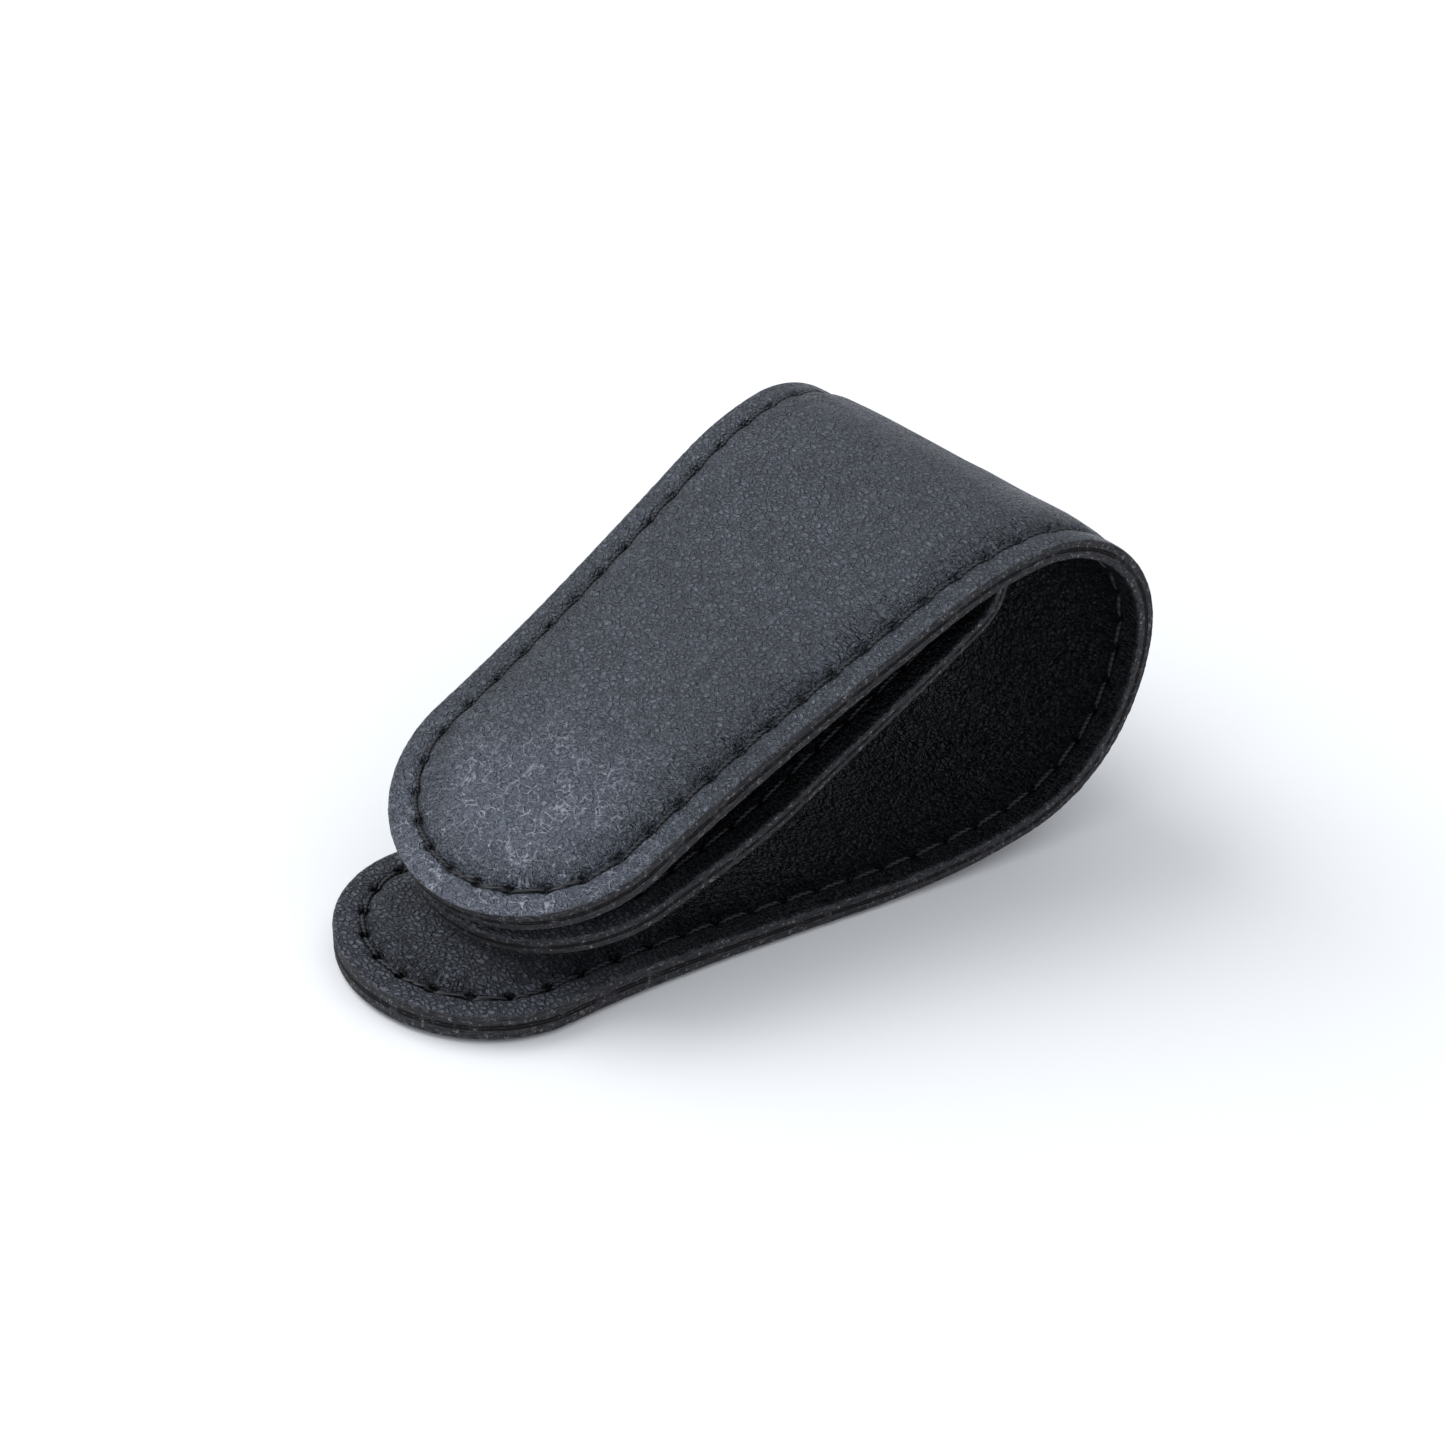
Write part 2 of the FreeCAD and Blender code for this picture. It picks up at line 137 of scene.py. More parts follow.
def folded(leaf, travel, inset, deep, side=1):
    """That place on the folded leaf, deep below its outer (side 1) or inner (-1) face."""
    reach, across = flat_spot(leaf, travel, inset)
    x, z, heading = leaf["spot"](reach)
    across += leaf["aside"] * (1 - smooth((reach - ASIDE_TO) / ASIDE_FADE))
    if side < 0:
        deep = thickness(leaf, reach) - deep
    x -= deep * math.sin(heading)
    z += deep * math.cos(heading)
    return Vector((x - BACK, across, z + GROUND)) * MM


def needle_holes(leaf, past=0):
    """Travels of the evenly spaced needle holes, each with the travel per mm of seam there."""
    steps = 1600
    run = edge_run(leaf)
    spots = [folded(leaf, run * i / steps, SEAM, 0) / MM for i in range(steps + 1)]
    pieces = [(after - spot).length for spot, after in zip(spots, spots[1:])]
    count = round(sum(pieces) / STITCH)
    pitch = sum(pieces) / count
    holes = []
    gone = pitch / 2
    for i, piece in enumerate(pieces):
        gone += piece
        if gone >= pitch:
            gone -= pitch
            holes.append((run * (i + 1) / steps, run / steps / max(piece, 1e-6)))
    if past:
        holes = [(holes[0][0] - pitch, 1.0)] + holes + [(holes[-1][0] + pitch, 1.0)]
    return holes


# what the thread does at each needle hole: a dip, and a pucker that runs inwards from it; both
# are also painted dark as painted shade
DIP_LONG, DIP_WIDE, DIP_DEEP = 0.6, 0.46, 0.45
PUCKER_LONG, PUCKER_IN, PUCKER_DEEP, PUCKER_SHADE = 0.9, 1.3, 0.25, 0.2
# unevenness, as waves a metre and height: of the padding, of the leather, of the cut edge
PADDING_WAVES, PADDING_UNEVEN = 190, 0.09
LEATHER_WAVES, LEATHER_UNEVEN = 650, 0.035
EDGE_WAVES, EDGE_UNEVEN, EDGE_DEEP = 1100, 0.07, 0.3


def leaf_mesh(name, leaf, section, swell, side, rows, holes, cut=(0, 0)):
    """A closed shell: the section carried round the leaf's edge and welded on its middle.

    Swell is the padding's height at the tip and in the loop, side is 1 for the outer face and
    -1 for the inner one, and cut says which columns of the section are raw edge."""
    sheet = bmesh.new()
    columns = len(section) - 1
    bmesh.ops.create_grid(sheet, x_segments=rows, y_segments=columns, size=1)
    needle = sheet.verts.layers.float.new("needle")
    edge_wear_and_highlight = sheet.verts.layers.float.new("edge_wear_and_highlight")
    seam = sheet.loops.layers.uv.new("seam")
    run = edge_run(leaf)
    for face in sheet.faces:
        column = (face.calc_center_median().y + 1) / 2 * columns
        face.material_index = 1 if cut[0] < column < cut[1] else 0
    gaps = []
    for row in range(rows + 1):
        travel = run * row / rows
        gaps.append(min((abs(travel - hole) / pace for hole, pace in holes), default=9.0))
    laid = {}
    for vert in sheet.verts:
        row = round((vert.co.x + 1) / 2 * rows)
        column = round((vert.co.y + 1) / 2 * columns)
        travel = run * row / rows
        inset, deep, share = section[column]
        reach = flat_spot(leaf, travel, 0)[0]
        room = half_width(leaf, reach) if reach > leaf["tip"] else leaf["half"]
        inset += share * (room - inset)
        showing = column > cut[1]
        along_edge = inset if inset > 0.05 else -deep
        if deep > 0:
            deep *= thickness(leaf, reach) / 2 / SKIN
        else:
            tip_share = 1 - smooth((reach - SWELL_TO) / SWELL_FADE)
            deep *= swell[1] + (swell[0] - swell[1]) * tip_share
        spot = folded(leaf, travel, inset, deep, side)
        if showing and cut[1]:
            dip = math.exp(-(gaps[row] / DIP_LONG) ** 2 - ((inset - SEAM) / DIP_WIDE) ** 2)
            beside = max(inset - SEAM, 0)
            pucker = math.exp(-(gaps[row] / PUCKER_LONG) ** 2 - beside / PUCKER_IN)
            pucker *= smooth(beside / 0.5)
            padding = noise.noise(spot * PADDING_WAVES) * smooth((inset - 4) / 4)
            uneven = noise.noise(spot * LEATHER_WAVES) * smooth((inset - 3) / 2)
            # painted shade: how dark the hole and its pucker are painted
            vert[needle] = dip + PUCKER_SHADE * pucker
            deep += DIP_DEEP * dip + PUCKER_DEEP * pucker
            deep += PADDING_UNEVEN * padding + LEATHER_UNEVEN * uneven
            spot = folded(leaf, travel, inset, deep, side)
        if cut[1]:
            ragged = noise.noise(Vector((spot.x, spot.y, spot.z * 2.5)) * EDGE_WAVES)
            ragged *= EDGE_UNEVEN * math.exp(-inset / EDGE_DEEP)
            spot.y += ragged * MM * (1 if spot.y > 0 else -1)
            # how much of the paler corner a vertex gets: partly wear, partly a painted
            # highlight line
            vert[edge_wear_and_highlight] = math.exp(-(inset / EDGE_DEEP) ** 2)
        laid[vert] = (travel / 100, along_edge / 100)
        vert.co = spot
    for face in sheet.faces:
        for loop in face.loops:
            loop[seam].uv = laid[loop.vert]
    bmesh.ops.remove_doubles(sheet, verts=sheet.verts, dist=0.00001)
    bmesh.ops.dissolve_degenerate(sheet, dist=0.000005, edges=sheet.edges)
    ends = [edge for edge in sheet.edges if edge.is_boundary]
    for edge in ends:
        edge.smooth = False
    bmesh.ops.holes_fill(sheet, edges=ends, sides=0)
    bmesh.ops.recalc_face_normals(sheet, faces=sheet.faces)
    return finished(name, sheet)


def finished(name, shape):
    """The shape as an object, smooth all over."""
    mesh = bpy.data.meshes.new(name)
    shape.to_mesh(mesh)
    shape.free()
    for face in mesh.polygons:
        face.use_smooth = True
    piece = bpy.data.objects.new(name, mesh)
    bpy.context.scene.collection.objects.link(piece)
    return piece


# (inset, depth, share of the width) from the glued face round the cut edge and over; depths
# above the rim are shares of the swell
SKIN_SECTION = [(5.4, 0.55, 1.0), (5.4, 0.55, 0.5), (5.4, 0.55, 0.0), (4.8, SKIN, 0.0),
                (0.3, SKIN, 0.0), (0.1, SKIN, 0.0), (0.01, 0.93 * SKIN, 0.0),
                (0.0, 0.7 * SKIN, 0.0), (0.0, 0.45 * SKIN, 0.0), (0.0, 0.22 * SKIN, 0.0),
                (0.04, 0.12, 0.0), (0.12, 0.04, 0.0), (0.28, 0.0, 0.0), (0.8, -0.03, 0.0),
                (1.5, -0.05, 0.0), (2.1, -0.01, 0.0), (2.4, 0.05, 0.0), (2.6, 0.14, 0.0),
                (2.8, 0.25, 0.0), (2.95, 0.3, 0.0), (3.1, 0.26, 0.0), (3.25, 0.12, 0.0),
                (3.42, -0.12, 0.0), (3.65, -0.34, 0.0), (4.0, -0.54, 0.0), (4.5, -0.7, 0.0),
                (5.2, -0.83, 0.0), (6.2, -0.93, 0.0), (7.6, -0.99, 0.0), (7.6, -1.01, 0.15),
                (7.6, -1.02, 0.32), (7.6, -1.03, 0.5), (7.6, -1.04, 0.75), (7.6, -1.04, 1.0)]
SKIN_CUT = (4, 9.6)             # columns of the section that are the cut edge
STRAP_ROWS = 900
COVER_LOOP_SWELL = 0.5
LINING_LOOP_SWELL = 0.3
lower_holes = needle_holes(LOWER)
upper_holes = needle_holes(UPPER)
lower_cover = leaf_mesh("lower_cover_skin", LOWER, SKIN_SECTION, (0.3, COVER_LOOP_SWELL), 1,
                        STRAP_ROWS, lower_holes, SKIN_CUT)
lower_lining = leaf_mesh("lower_lining_skin", LOWER, SKIN_SECTION,
                         (0.55, LINING_LOOP_SWELL), -1, STRAP_ROWS, lower_holes, SKIN_CUT)
upper_cover = leaf_mesh("upper_cover_skin", UPPER, SKIN_SECTION, (0.9, COVER_LOOP_SWELL), 1,
                        STRAP_ROWS, upper_holes, SKIN_CUT)
upper_lining = leaf_mesh("upper_lining_skin", UPPER, SKIN_SECTION,
                         (0.35, LINING_LOOP_SWELL), -1, STRAP_ROWS, upper_holes, SKIN_CUT)


class Finish:
    """A material and its nodes."""

    def __init__(self, name, **shader_values):
        self.material = bpy.data.materials.new(name)
        self.material.use_nodes = True
        self.tree = self.material.node_tree
        self.shader = self.tree.nodes["Principled BSDF"]
        for value_name, value in shader_values.items():
            self.shader.inputs[value_name.replace("_", " ")].default_value = value
        self.place = self.add("ShaderNodeTexCoord").outputs["Object"]

    def add(self, kind, settings=None, **sockets):
        """A node with its settings, and its inputs set to values or joined to outputs."""
        node = self.tree.nodes.new(kind)
        for setting, value in (settings or {}).items():
            setattr(node, setting, value)
        for socket, value in sockets.items():
            self.join(value, node.inputs[socket.replace("_", " ")])
        return node

    def join(self, value, socket):
        if isinstance(value, bpy.types.NodeSocket):
            self.tree.links.new(value, socket)
        else:
            socket.default_value = value

    def noise(self, scale, detail=3.0, vector=None, rough=0.5):
        node = self.add("ShaderNodeTexNoise", Scale=scale, Detail=detail, Roughness=rough,
                        Vector=vector or self.place)
        return node.outputs["Fac"]

    def span(self, value, low, high, to_low=0.0, to_high=1.0):
        node = self.add("ShaderNodeMapRange", {"interpolation_type": "SMOOTHSTEP"}, Value=value)
        for index, number in enumerate((low, high, to_low, to_high), start=1):
            node.inputs[index].default_value = number
        return node.outputs["Result"]

    def mix(self, share, first, second):
        node = self.add("ShaderNodeMix", {"data_type": "RGBA"}, Factor=share)
        for colour, socket in ((first, node.inputs[6]), (second, node.inputs[7])):
            self.join((*colour, 1) if isinstance(colour, tuple) else colour, socket)
        return node.outputs[2]

    def times(self, first, second):
        node = self.add("ShaderNodeMath", {"operation": "MULTIPLY"})
        self.join(first, node.inputs[0])
        self.join(second, node.inputs[1])
        return node.outputs[0]

    def squiggles(self, scale, width, detail=3.0, vector=None):
        """Thin wandering lines, where a noise crosses its middle value."""
        height = self.noise(scale, detail, vector, 0.55)
        return self.times(self.span(height, 0.5 - width, 0.5),
                          self.span(height, 0.5 + width, 0.5))

    def relief(self, *layers):
        """Bumps laid over one another: (height, distance in metres)."""
        last = None
        for height, distance in layers:
            bump = self.add("ShaderNodeBump", Height=height, Distance=distance, Strength=1.0)
            if last:
                self.join(last.outputs["Normal"], bump.inputs["Normal"])
            last = bump
        self.join(last.outputs["Normal"], self.shader.inputs["Normal"])


HOLE_SHADE_BLACK = (0.0008, 0.0008, 0.001)
WEAR_AND_HIGHLIGHT_GREY = (0.085, 0.088, 0.1)
CRACKLE_GLINT = (0.27, 0.285, 0.33)
PAINTED_LIGHT_FURROW, PAINTED_LIGHT_GRAIN = (0.030, 0.032, 0.040), (0.100, 0.107, 0.128)


def shade(colour, share):
    return tuple(share * part for part in colour)


def leather(name, dark, light, gloss, crackle_and_sheen_at=None, painted_light_to=None):
    """Fine pebbled calf, creased beside the seam, with painted shade in the creases and needle
    holes.
    It may be crackled round one spot, with a painted sheen there and painted glints on the
    crackle, and it may be painted paler from the tip to some place along the leaf as painted
    light. Scales are in grains a metre."""
    calf = Finish(name, Specular_IOR_Level=gloss, Specular_Tint=(0.8, 0.88, 1.0, 1))
    warp = calf.add("ShaderNodeTexNoise", Scale=620.0, Detail=2.0, Vector=calf.place)
    bent = calf.add("ShaderNodeVectorMath", {"operation": "MULTIPLY_ADD"})
    calf.join(warp.outputs["Color"], bent.inputs[0])
    bent.inputs[1].default_value = (MM, MM, MM)
    calf.join(calf.place, bent.inputs[2])
    # the grain is drawn out across the strap
    across = calf.add("ShaderNodeMapping", Vector=bent.outputs["Vector"])
    across.inputs["Scale"].default_value = (1.0, 0.64, 1.0)

    def cells(scale, low, high):
        grain = calf.add("ShaderNodeTexVoronoi", {"feature": "DISTANCE_TO_EDGE"}, Scale=scale,
                         Vector=across.outputs["Vector"])
        return calf.span(grain.outputs["Distance"], low, high)

    pebble = cells(2000.0, 0.0, 0.30)
    pores = cells(4300.0, 0.0, 0.3)
    wrinkle = calf.noise(1500.0, 2.0, across.outputs["Vector"])
    patch = calf.noise(48.0, 5.0, rough=0.6)
    wide = calf.noise(1000.0, 3.0, rough=0.6)
    tone = calf.mix(calf.span(patch, 0.3, 0.7), dark, light)
    tone = calf.mix(pebble, shade(dark, 0.12), tone)
    tone = calf.mix(calf.span(wide, 0.5, 0.7, 0.0, 0.25), tone, shade(light, 1.9))
    broken = calf.times(cells(1050.0, 0.08, 0.01),
                        calf.span(calf.noise(420.0, 3.0), 0.4, 0.52))
    if crackle_and_sheen_at:
        centred = calf.add("ShaderNodeMapping", Vector=calf.place)
        centred.inputs["Location"].default_value = [-part for part in crackle_and_sheen_at]
        far = calf.add("ShaderNodeVectorMath", {"operation": "LENGTH"})
        calf.join(centred.outputs["Vector"], far.inputs[0])
        near = calf.span(far.outputs["Value"], 0.004, 0.025, 1.0, 0.05)
        broken = calf.times(broken, near)
        # painted sheen: the cover is painted paler round that spot near the tip
        tone = calf.mix(calf.times(near, 0.6), tone, shade(light, 2.0))
        # painted highlight: the crackle lines are painted as pale glints
        tone = calf.mix(broken, tone, CRACKLE_GLINT)
    if painted_light_to:
        # painted light: the lining is painted paler at its exposed tip and darker further in,
        # where the loop shades it
        parts = calf.add("ShaderNodeSeparateXYZ", Vector=calf.place)
        inner = calf.span(parts.outputs["X"], *painted_light_to)
        tone = calf.mix(inner, calf.mix(pebble, PAINTED_LIGHT_FURROW, PAINTED_LIGHT_GRAIN), tone)
    # painted shade: the needle holes and the puckers running in from them are painted near
    # black
    hole = calf.add("ShaderNodeAttribute", {"attribute_name": "needle"}).outputs["Fac"]
    tone = calf.mix(calf.span(hole, 0.08, 0.4), tone, HOLE_SHADE_BLACK)
    # partly wear and partly a painted highlight: the rim's corner along the cut edge is painted
    # paler in patches
    edge_wear_and_highlight = calf.add("ShaderNodeAttribute", {"attribute_name": "edge_wear_and_highlight"}).outputs["Fac"]
    rubbed_and_lit = calf.times(calf.span(edge_wear_and_highlight, 0.1, 0.9), calf.span(wide, 0.35, 0.6, 0.1, 0.55))
    tone = calf.mix(rubbed_and_lit, tone, WEAR_AND_HIGHLIGHT_GREY)

    # creases that the stitches pull across the seam, laid along it by the leaf's own map,
    # which has 0.01 to the millimetre; they start inside the stitch line and die out inwards
    laid = calf.add("ShaderNodeUVMap", {"uv_map": "seam"}).outputs["UV"]
    stretched = calf.add("ShaderNodeMapping", Vector=laid)
    stretched.inputs["Scale"].default_value = (105, 24, 1)
    crease = calf.times(calf.squiggles(1.0, 0.13, 2.0, stretched.outputs["Vector"]),
                        calf.span(calf.noise(90.0, 2.0), 0.36, 0.50))
    parts = calf.add("ShaderNodeSeparateXYZ", Vector=laid)
    inward = calf.times(calf.span(parts.outputs["Y"], 0.0300, 0.0335),
                        calf.span(parts.outputs["Y"], 0.035, 0.085, 1.0, 0.0))
    crease = calf.times(crease, inward)
    # painted shade: the leather is painted darker along the creases
    tone = calf.mix(calf.times(crease, 0.7), tone, shade(dark, 0.15))
    calf.join(tone, calf.shader.inputs["Base Color"])
    calf.join(calf.span(patch, 0.3, 0.7, 0.50, 0.36), calf.shader.inputs["Roughness"])
    pressed = calf.add("ShaderNodeMath", {"operation": "SUBTRACT"})
    calf.join(1.0, pressed.inputs[0])
    calf.join(crease, pressed.inputs[1])
    calf.relief((pressed.outputs[0], 0.0004), (calf.noise(260.0, 2.0), 0.00022),
                (broken, 0.00016), (wrinkle, 0.0007), (pebble, 0.00024), (pores, 0.00003))
    return calf.material


PALE_FLECK = (0.26, 0.25, 0.255)
GLUE_BLACK = (0.002, 0.002, 0.002)


def cut_edge(name, dark, light):
    """Raw cut edge: dyed fibres in fine lines, pale flecks, and a broken dark glue line."""
    raw = Finish(name, Roughness=0.85, Specular_IOR_Level=0.2)
    laid = raw.add("ShaderNodeUVMap", {"uv_map": "seam"}).outputs["UV"]
    drawn = raw.add("ShaderNodeMapping", Vector=laid)
    drawn.inputs["Scale"].default_value = (75, 620, 1)
    lines = raw.noise(1.0, 5.0, drawn.outputs["Vector"], 0.75)
    flecks = raw.noise(2100.0, 4.0, rough=0.75)
    patch = raw.add("ShaderNodeTexNoise", Scale=45.0, Detail=3.0, Vector=laid).outputs["Fac"]
    tone = raw.mix(raw.span(lines, 0.36, 0.66), dark, light)
    tone = raw.mix(raw.span(flecks, 0.55, 0.67), tone, PALE_FLECK)
    parts = raw.add("ShaderNodeSeparateXYZ", Vector=laid)
    glue = raw.times(raw.span(parts.outputs["Y"], -0.0078, -0.0095),
                     raw.span(patch, 0.32, 0.45))
    tone = raw.mix(glue, tone, GLUE_BLACK)
    raw.join(tone, raw.shader.inputs["Base Color"])
    raw.relief((lines, 0.0003), (flecks, 0.0002))
    return raw.material


cover_leather = leather("cover_leather", (0.022, 0.0245, 0.034), (0.050, 0.056, 0.076), 0.85,
                        crackle_and_sheen_at=(-0.0285, -0.003, 0.0120))
# painted shade: the lining's black is painted far darker than the cover's, standing in for the
# shade inside the loop
lining_leather = leather("lining_leather", (0.0012, 0.0015, 0.0021),
                         (0.0035, 0.0040, 0.0052), 0.2, painted_light_to=(-0.030, -0.010))
raw_edge = cut_edge("raw_edge", (0.019, 0.019, 0.022), (0.074, 0.073, 0.081))

# the strap gives at two places, before and after the loop: the bodies, and the two ends of
# the stretch that bends between them, in metres
LOWER_FLEX = ("lower_leaf", "loop", (0.008, 0, 0.001), (0.0375, 0, 0.015))
UPPER_FLEX = ("loop", "upper_leaf", (0.0345, 0, 0.033), (0.0195, 0, 0.0315))
for piece, finish, flex, fill, nodes in (
        (lower_cover, cover_leather, LOWER_FLEX, 0.5, ("lower_outer_cover",)),
        (lower_lining, lining_leather, LOWER_FLEX, 0.5, ("lower_lining",)),
        (upper_cover, cover_leather, UPPER_FLEX, 0.8, ("upper_outer_cover",
                                                       "loop_outer_cover")),
        (upper_lining, lining_leather, UPPER_FLEX, 0.4, ("upper_lining", "loop_lining"))):
    piece.data.materials.append(finish)
    piece.data.materials.append(raw_edge)
    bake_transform(piece)
    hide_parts(*nodes)

# ---- tongue -----------------------------------------------------------------------------
# The inner leaf: two thinner skins on a flat filler, sewn round like the strap. Its root
# curves up and goes through a slit in the upper lining, where it is let in and glued.
TONGUE_START = (9.7, 4.5, 16.0)  # along and up from the lower tip, and its slope
TONGUE_ROWS = 700
TONGUE_RUNS = [(20.0, 0.0), (37.5, 17.5), (23.5, 0.0), (6.0, 42.0)]


def tongue_spot(reach):
    return along(TONGUE_RUNS, reach, *TONGUE_START)


TONGUE = {"tip": 14.6, "half": 16.4, "wide": 20.6, "flare": 66.0, "length": 60.6,
          "aside": 0.0, "thick": (1.95, 1.3), "spot": tongue_spot}
TONGUE_FLEX = ("upper_leaf", "tongue", (0.0212, 0, 0.0322), (0.0170, 0, 0.0262))
tongue_holes = needle_holes(TONGUE)
for name, side, node in (("tongue_bottom_skin", 1, "tongue_bottom_cover"),
                         ("tongue_top_skin", -1, "tongue_top_cover")):
    piece = leaf_mesh(name, TONGUE, SKIN_SECTION, (0.3, 0.2), side, TONGUE_ROWS,
                      tongue_holes, SKIN_CUT)
    piece.data.materials.append(lining_leather)
    piece.data.materials.append(raw_edge)
    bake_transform(piece)
    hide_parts(node)

# ---- stitching --------------------------------------------------------------------------
# Black waxed thread, lockstitched about 3.8 mm apart in a pressed groove round every leaf.
# Each stitch sinks at both ends into its needle holes.
thread = Finish("waxed_thread", Roughness=0.55, Specular_IOR_Level=0.35)
twist = thread.add("ShaderNodeTexWave", {"bands_direction": "DIAGONAL"}, Scale=800.0,
                   Distortion=1.5, Vector=thread.place).outputs["Fac"]
thread.join(thread.mix(twist, (0.004, 0.004, 0.006), (0.034, 0.036, 0.043)),
            thread.shader.inputs["Base Color"])
thread.relief((twist, 0.0001))


THREAD = 0.23                   # half the thread's width
STITCH_REACH = 0.92             # how much of the way to its two needle holes it shows
SLANT = 0.12                    # each end is this far off the seam line
LIE, SINK = 0.16, 0.36          # depth of its middle, and how much deeper its ends are


def stitching(name, leaf, holes, side):
    """One rounded stitch between each two needle holes."""
    row = bmesh.new()
    for (hole, _), (after, _) in zip(holes, holes[1:]):
        made = bmesh.ops.create_uvsphere(row, u_segments=8, v_segments=7, radius=1)
        middle = (hole + after) / 2
        reach = (after - hole) / 2 * STITCH_REACH
        for vert in made["verts"]:
            end = vert.co.z
            fat = THREAD * (1 - 0.4 * end ** 4)
            wide = math.hypot(vert.co.x, vert.co.y)
            round_out = min(1.0, wide * 1.6) / max(wide, 1e-6)
            travel = middle + reach * math.copysign(abs(end) ** 0.9, end)
            across = SEAM + SLANT * end + fat * vert.co.x * round_out
            deep = LIE + SINK * end ** 4 - fat * 0.75 * vert.co.y * round_out
            vert.co = folded(leaf, travel, across, deep, side)
    bmesh.ops.recalc_face_normals(row, faces=row.faces)
    piece = finished(name, row)
    piece.data.materials.append(thread.material)
    return piece


joined_holes = needle_holes(UPPER, past=1)
for name, leaf, holes, side, flex, nodes in (
        ("lower_outer_stitches", LOWER, lower_holes, 1, LOWER_FLEX,
         ("lower_outer_stitching",)),
        ("lower_inner_stitches", LOWER, lower_holes, -1, LOWER_FLEX,
         ("lower_inner_stitching",)),
        ("upper_outer_stitches", UPPER, joined_holes, 1, UPPER_FLEX,
         ("upper_outer_stitching", "loop_outer_stitching")),
        ("upper_inner_stitches", UPPER, joined_holes, -1, UPPER_FLEX,
         ("upper_inner_stitching", "loop_inner_stitching")),
        ("tongue_bottom_stitches", TONGUE, tongue_holes, 1, TONGUE_FLEX,
         ("tongue_bottom_stitching",)),
        ("tongue_top_stitches", TONGUE, tongue_holes, -1, TONGUE_FLEX,
         ("tongue_top_stitching",))):
    row = stitching(name, leaf, holes, side)
    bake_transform(row)
    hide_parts(*nodes)

# ---- foam -------------------------------------------------------------------------------
# A sheet of closed-cell foam between the two skins of each leaf, cut about 5 mm inside the
# edge so that the seam goes round it. It is glued in and does not show.
foam = Finish("padding_foam", Roughness=0.95)
bubbles = foam.add("ShaderNodeTexVoronoi", Scale=2500.0, Vector=foam.place).outputs["Distance"]
foam.join(foam.mix(bubbles, (0.05, 0.05, 0.05), (0.14, 0.14, 0.14)),
          foam.shader.inputs["Base Color"])
foam.relief((bubbles, 0.0001))
FOAM_ROWS = 240
FOAM_SECTION = [(5.6, 1.6, 1.0), (5.6, 1.6, 0.5), (5.6, 1.6, 0.0), (5.45, 1.5, 0.0),
                (5.45, 0.75, 0.0), (5.6, 0.65, 0.0), (5.6, 0.65, 0.5), (5.6, 0.65, 1.0)]
for name, leaf, flex, nodes in (
        ("lower_foam", LOWER, LOWER_FLEX, ("lower_pad",)),
        ("upper_foam", UPPER, UPPER_FLEX, ("upper_pad", "loop_pad")),
        ("tongue_foam", TONGUE, TONGUE_FLEX, ("tongue_pad",))):
    piece = leaf_mesh(name, leaf, FOAM_SECTION, (1, 1), 1, FOAM_ROWS, [])
    piece.data.materials.append(foam.material)
    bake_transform(piece)
    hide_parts(*nodes)

# ---- magnets and tongue tab -------------------------------------------------------------
# Nickel plated disc magnets lie in the foam near each tip. The tab is the end of the tongue
# that is glued between the skins of the upper leaf.
nickel = Finish("nickel_plate", Metallic=1.0, Base_Color=(0.62, 0.61, 0.58, 1))
scuffs = nickel.noise(700.0, 5.0)
nickel.join(nickel.span(scuffs, 0.3, 0.7, 0.18, 0.4), nickel.shader.inputs["Roughness"])
nickel.relief((scuffs, 0.00001))
for name, finish in (("lower_magnet", nickel.material), ("upper_magnet", nickel.material),
                     ("tongue_magnet", nickel.material), ("tongue_root_tab", lining_leather)):
    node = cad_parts[name]
    node.data.materials.clear()
    node.data.materials.append(finish)

# ---- table, light and camera ------------------------------------------------------------
# A plain white table under a large soft light from behind, with a weak one in front.
table = bmesh.new()
bmesh.ops.create_grid(table, x_segments=1, y_segments=1, size=4.0)
table_top = finished("table", table)
white = Finish("white_table", Roughness=0.95, Specular_IOR_Level=0.1)
white.join(white.mix(white.noise(30.0), (0.93, 0.935, 0.95), (0.95, 0.955, 0.97)),
           white.shader.inputs["Base Color"])
table_top.data.materials.append(white.material)

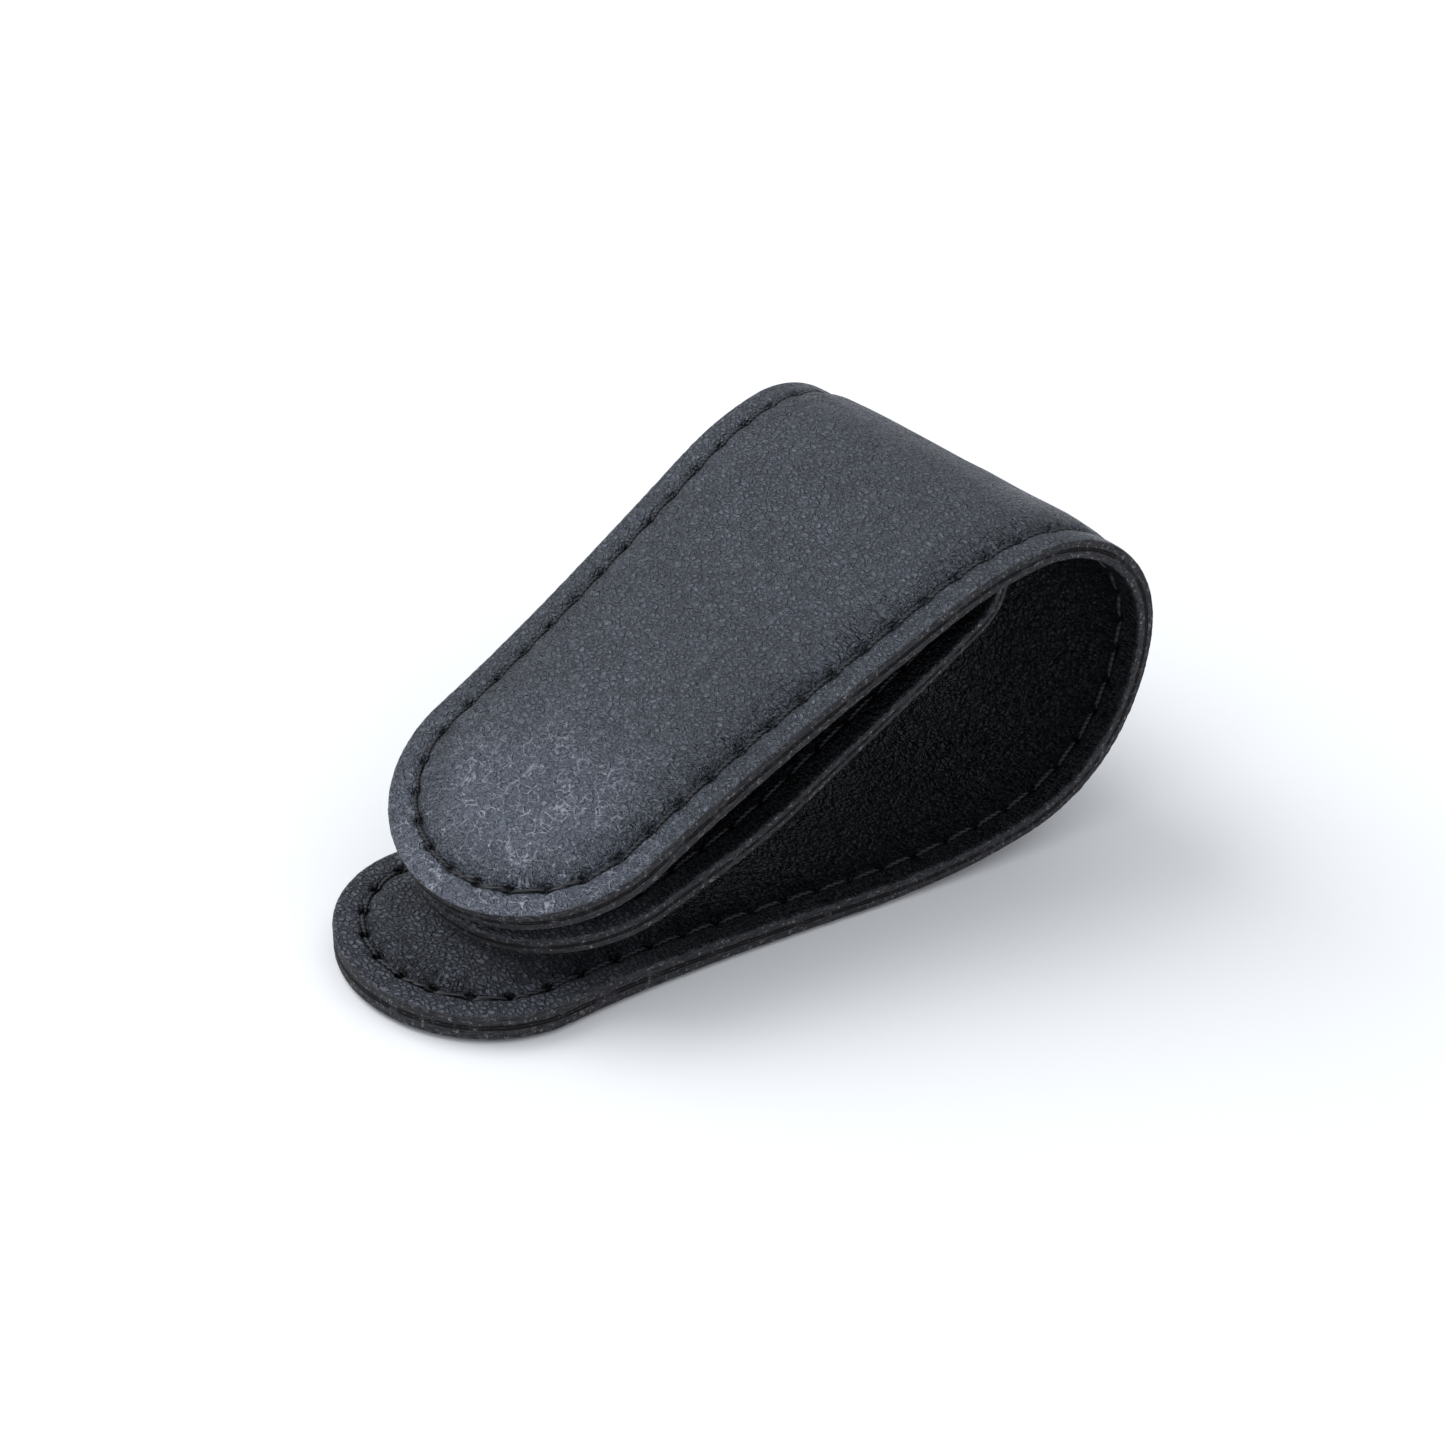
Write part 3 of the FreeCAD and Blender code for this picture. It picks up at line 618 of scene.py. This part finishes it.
BRIGHTER_SIDE = (-0.6, 0.3, 0.75)
DIMMEST, BRIGHTEST = 0.31, 0.88
world = bpy.data.worlds.new("studio")
bpy.context.scene.world = world
world.use_nodes = True
sky = world.node_tree
sky.nodes["Background"].inputs["Color"].default_value = (0.92, 0.955, 1.0, 1)
brighter_side = sky.nodes.new("ShaderNodeVectorMath")
brighter_side.operation = "DOT_PRODUCT"
brighter_side.inputs[1].default_value = BRIGHTER_SIDE
sky.links.new(sky.nodes.new("ShaderNodeTexCoord").outputs["Generated"],
              brighter_side.inputs[0])
glow = sky.nodes.new("ShaderNodeMapRange")
glow.inputs["From Min"].default_value = -1.0
glow.inputs["To Min"].default_value = DIMMEST
glow.inputs["To Max"].default_value = BRIGHTEST
sky.links.new(brighter_side.outputs["Value"], glow.inputs["Value"])
sky.links.new(glow.outputs["Result"], sky.nodes["Background"].inputs["Strength"])


def soft_light(name, place, size, power):
    """A square light of that size, aimed at the clip."""
    lamp = bpy.data.lights.new(name, "AREA")
    lamp.shape = "SQUARE"
    lamp.size = size
    lamp.energy = power
    holder = bpy.data.objects.new(name, lamp)
    bpy.context.scene.collection.objects.link(holder)
    holder.location = place
    aim = Vector((0, 0, 0.01)) - Vector(place)
    holder.rotation_euler = aim.to_track_quat("-Z", "Y").to_euler()


soft_light("key", (-0.30, 0.72, 0.90), 0.9, 8.3)
soft_light("fill", (0.35, -0.62, 0.55), 0.8, 1.1)

CAMERA_PLACE = (-0.16026, -0.19750, 0.17651)
CAMERA_TURN = (-39.592, 32.357, 0.547)      # degrees round the clip, above it, and of roll
LENS, SENSOR = 76.3, 36
camera_data = bpy.data.cameras.new("camera")
camera_data.lens = LENS
camera_data.sensor_width = SENSOR
camera_data.clip_start = 0.01
camera = bpy.data.objects.new("camera", camera_data)
bpy.context.scene.collection.objects.link(camera)
around, above, roll = [math.radians(angle) for angle in CAMERA_TURN]
behind = Vector((math.sin(around) * math.cos(above), -math.cos(around) * math.cos(above),
                 math.sin(above)))
right = (-behind).cross(Vector((0, 0, 1))).normalized()
up = right.cross(-behind)
right, up = (math.cos(roll) * right + math.sin(roll) * up,
             math.cos(roll) * up - math.sin(roll) * right)
turned = Matrix((right, up, behind)).transposed().to_4x4()
camera.matrix_world = Matrix.Translation(CAMERA_PLACE) @ turned
bpy.context.scene.camera = camera
bpy.context.scene.view_settings.view_transform = "Standard"
